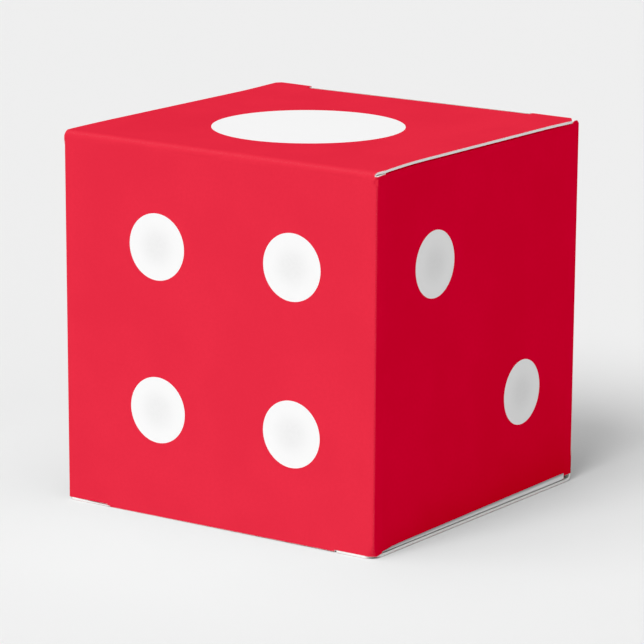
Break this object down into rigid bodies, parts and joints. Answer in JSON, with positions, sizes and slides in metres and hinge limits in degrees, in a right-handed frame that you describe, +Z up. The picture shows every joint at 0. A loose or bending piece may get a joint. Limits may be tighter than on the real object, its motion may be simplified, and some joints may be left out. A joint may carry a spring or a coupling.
{
  "type": "paperboard die favour box",
  "caption": "Folded paperboard favour box in the form of a red die, with hinged tuck lids and dust flaps at both ends.",
  "frame": {"origin": "centre of the footprint, on the resting plane", "axes": "+Z up, the four-spot front panel faces -Y, the two-spot side panel faces +X"},
  "size_m": [0.0508, 0.0492, 0.0515],
  "materials": {
    "printed_board": "matte",
    "printed_spot": "matte",
    "plain_board": "matte",
    "glue": "satin"
  },
  "bodies": {
    "tube": {"front_panel": "printed_board", "right_panel": "printed_board", "back_panel": "printed_board", "left_panel": "printed_board", "glue_flap": "plain_board", "glue_line": "glue", "front_spots": "printed_spot", "right_spots": "printed_spot", "back_spots": "printed_spot", "left_spots": "printed_spot"},
    "top_lid": {"top_lid": "printed_board", "top_spot": "printed_spot"},
    "top_tuck": {"top_tuck_flap": "plain_board"},
    "top_dust_right": {"top_dust_flap_right": "plain_board"},
    "top_dust_left": {"top_dust_flap_left": "plain_board"},
    "bottom_lid": {"bottom_lid": "printed_board", "bottom_spots": "printed_spot"},
    "bottom_tuck": {"bottom_tuck_flap": "plain_board"},
    "bottom_dust_right": {"bottom_dust_flap_right": "plain_board"},
    "bottom_dust_left": {"bottom_dust_flap_left": "plain_board"}
  },
  "joints": [
    {"name": "top_lid_crease", "type": "hinge", "parent": "tube", "child": "top_lid", "pos_m": [0, -0.02441, 0.05131], "axis": [1, 0, 0], "range_deg": [0, 120]},
    {"name": "top_tuck_crease", "type": "hinge", "parent": "top_lid", "child": "top_tuck", "pos_m": [0, 0.02391, 0.05131], "axis": [1, 0, 0], "range_deg": [0, 30]},
    {"name": "top_dust_right_crease", "type": "hinge", "parent": "tube", "child": "top_dust_right", "pos_m": [0.02521, 0, 0.05083], "axis": [0, 1, 0], "range_deg": [0, 60]},
    {"name": "top_dust_left_crease", "type": "hinge", "parent": "tube", "child": "top_dust_left", "pos_m": [-0.02521, 0, 0.05083], "axis": [0, -1, 0], "range_deg": [0, 60]},
    {"name": "bottom_lid_crease", "type": "hinge", "parent": "tube", "child": "bottom_lid", "pos_m": [0, 0.02441, 0.00019], "axis": [1, 0, 0], "range_deg": [0, 120]},
    {"name": "bottom_tuck_crease", "type": "hinge", "parent": "bottom_lid", "child": "bottom_tuck", "pos_m": [0, -0.02391, 0.00019], "axis": [1, 0, 0], "range_deg": [0, 30]},
    {"name": "bottom_dust_right_crease", "type": "hinge", "parent": "tube", "child": "bottom_dust_right", "pos_m": [0.02521, 0, 0.00067], "axis": [0, -1, 0], "range_deg": [0, 60]},
    {"name": "bottom_dust_left_crease", "type": "hinge", "parent": "tube", "child": "bottom_dust_left", "pos_m": [-0.02521, 0, 0.00067], "axis": [0, 1, 0], "range_deg": [0, 60]}
  ],
  "couplings": [
    {"joint": "top_tuck_crease", "follows": "top_lid_crease", "ratio": 0.25},
    {"joint": "top_dust_right_crease", "follows": "top_lid_crease", "ratio": 0.5},
    {"joint": "top_dust_left_crease", "follows": "top_lid_crease", "ratio": 0.5},
    {"joint": "bottom_tuck_crease", "follows": "bottom_lid_crease", "ratio": 0.25},
    {"joint": "bottom_dust_right_crease", "follows": "bottom_lid_crease", "ratio": 0.5},
    {"joint": "bottom_dust_left_crease", "follows": "bottom_lid_crease", "ratio": 0.5}
  ]
}
